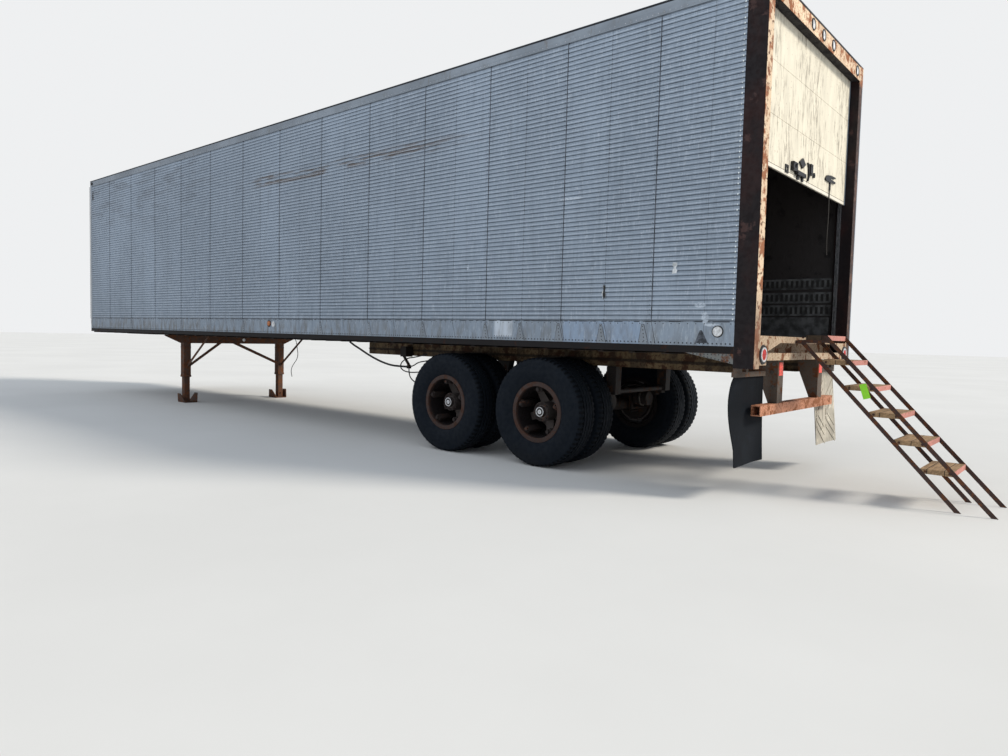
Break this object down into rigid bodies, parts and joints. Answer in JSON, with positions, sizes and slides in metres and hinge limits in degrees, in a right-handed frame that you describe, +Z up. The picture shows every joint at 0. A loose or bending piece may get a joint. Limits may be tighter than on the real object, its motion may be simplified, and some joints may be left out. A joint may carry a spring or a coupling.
{
  "type": "semi trailer",
  "caption": "Weathered fluted van semi trailer with a part-raised roll-up rear door, dual-wheel bogie, landing legs and hooked-on boarding steps.",
  "frame": {"origin": "on the ground, at the middle of the trailer's overall box with its steps down", "axes": "+X forward to the nose, +Y to the trailer's left side, +Z up"},
  "size_m": [14.2692, 2.486, 3.916],
  "materials": {
    "fluted_skin": "weathered satin",
    "plain_alloy": "weathered satin",
    "frame_rust": "dark rusted paint",
    "frame_faded": "faded paint with rust",
    "door_paint": "chalky streaked paint",
    "latch_steel": "satin",
    "track_steel": "dull galvanised",
    "floor_boards": "worn",
    "beam_steel": "dirty",
    "rail_paint": "dirty cream paint",
    "bogie_steel": "dirty",
    "pin_steel": "greased",
    "tyre": "weathered",
    "rim_rust": "rusted",
    "hub_iron": "rusted",
    "bumper_paint": "faded red over rust",
    "flap_rubber": "dusty",
    "landing_steel": "rusted",
    "lamp_lens": "faded lens",
    "hose_rubber": "matte",
    "rope_fibre": "dirty",
    "step_steel": "rusted",
    "tread_wood": "weathered",
    "nosing_paint": "faded pink-red"
  },
  "bodies": {
    "trailer": {"left_side_wall": "fluted_skin", "right_side_wall": "fluted_skin", "nose_wall": "plain_alloy", "top_rail": "plain_alloy", "bottom_rail": "frame_rust", "roof": "plain_alloy", "roof_bows": "plain_alloy", "floor": "floor_boards", "crossmembers": "beam_steel", "coupler_plate": "beam_steel", "kingpin": "pin_steel", "left_rear_post": "frame_rust", "right_rear_post": "frame_rust", "rear_header": "frame_faded", "rear_sill": "frame_faded", "rear_lamps": "lamp_lens", "side_lamps": "lamp_lens", "door_panels": "door_paint", "door_tracks": "track_steel", "door_hinges": "track_steel", "door_latch": "latch_steel", "axles": "bogie_steel", "leaf_springs": "bogie_steel", "body_rails": "rail_paint", "spring_hangers": "bogie_steel", "brake_chambers": "bogie_steel", "radius_rods": "bogie_steel", "bumper": "bumper_paint", "bumper_uprights": "frame_rust", "flap_brackets": "frame_rust", "mud_flaps": "flap_rubber", "landing_beam": "landing_steel", "left_landing_leg": "landing_steel", "right_landing_leg": "landing_steel", "sand_shoes": "landing_steel", "landing_braces": "landing_steel", "cargo_rails": "track_steel", "step_hinge_rod": "step_steel", "hose_bracket": "bogie_steel", "supply_hose": "hose_rubber", "upper_hose": "hose_rubber", "loop_hose": "hose_rubber", "tail_hose": "hose_rubber", "drop_hose": "hose_rubber", "pull_rope": "rope_fibre"},
    "front_left_wheel": {"front_left_tyres": "tyre", "front_left_rims": "rim_rust", "front_left_hub": "hub_iron"},
    "front_right_wheel": {"front_right_tyres": "tyre", "front_right_rims": "rim_rust", "front_right_hub": "hub_iron"},
    "rear_left_wheel": {"rear_left_tyres": "tyre", "rear_left_rims": "rim_rust", "rear_left_hub": "hub_iron"},
    "rear_right_wheel": {"rear_right_tyres": "tyre", "rear_right_rims": "rim_rust", "rear_right_hub": "hub_iron"},
    "boarding_steps": {"step_rails": "step_steel", "step_treads": "tread_wood", "step_nosings": "nosing_paint"}
  },
  "joints": [
    {"name": "front_left_spin", "type": "hinge", "parent": "trailer", "child": "front_left_wheel", "pos_m": [-2.37742, 0.9, 0.515], "axis": [0, 1, 0], "continuous": true},
    {"name": "front_right_spin", "type": "hinge", "parent": "trailer", "child": "front_right_wheel", "pos_m": [-2.37742, -0.9, 0.515], "axis": [0, 1, 0], "continuous": true},
    {"name": "rear_left_spin", "type": "hinge", "parent": "trailer", "child": "rear_left_wheel", "pos_m": [-3.59542, 0.9, 0.515], "axis": [0, 1, 0], "continuous": true},
    {"name": "rear_right_spin", "type": "hinge", "parent": "trailer", "child": "rear_right_wheel", "pos_m": [-3.59542, -0.9, 0.515], "axis": [0, 1, 0], "continuous": true},
    {"name": "steps_lift", "type": "hinge", "parent": "trailer", "child": "boarding_steps", "pos_m": [-5.71542, 0.065, 1.232], "axis": [0, 1, 0], "range_deg": [0, 45]}
  ]
}
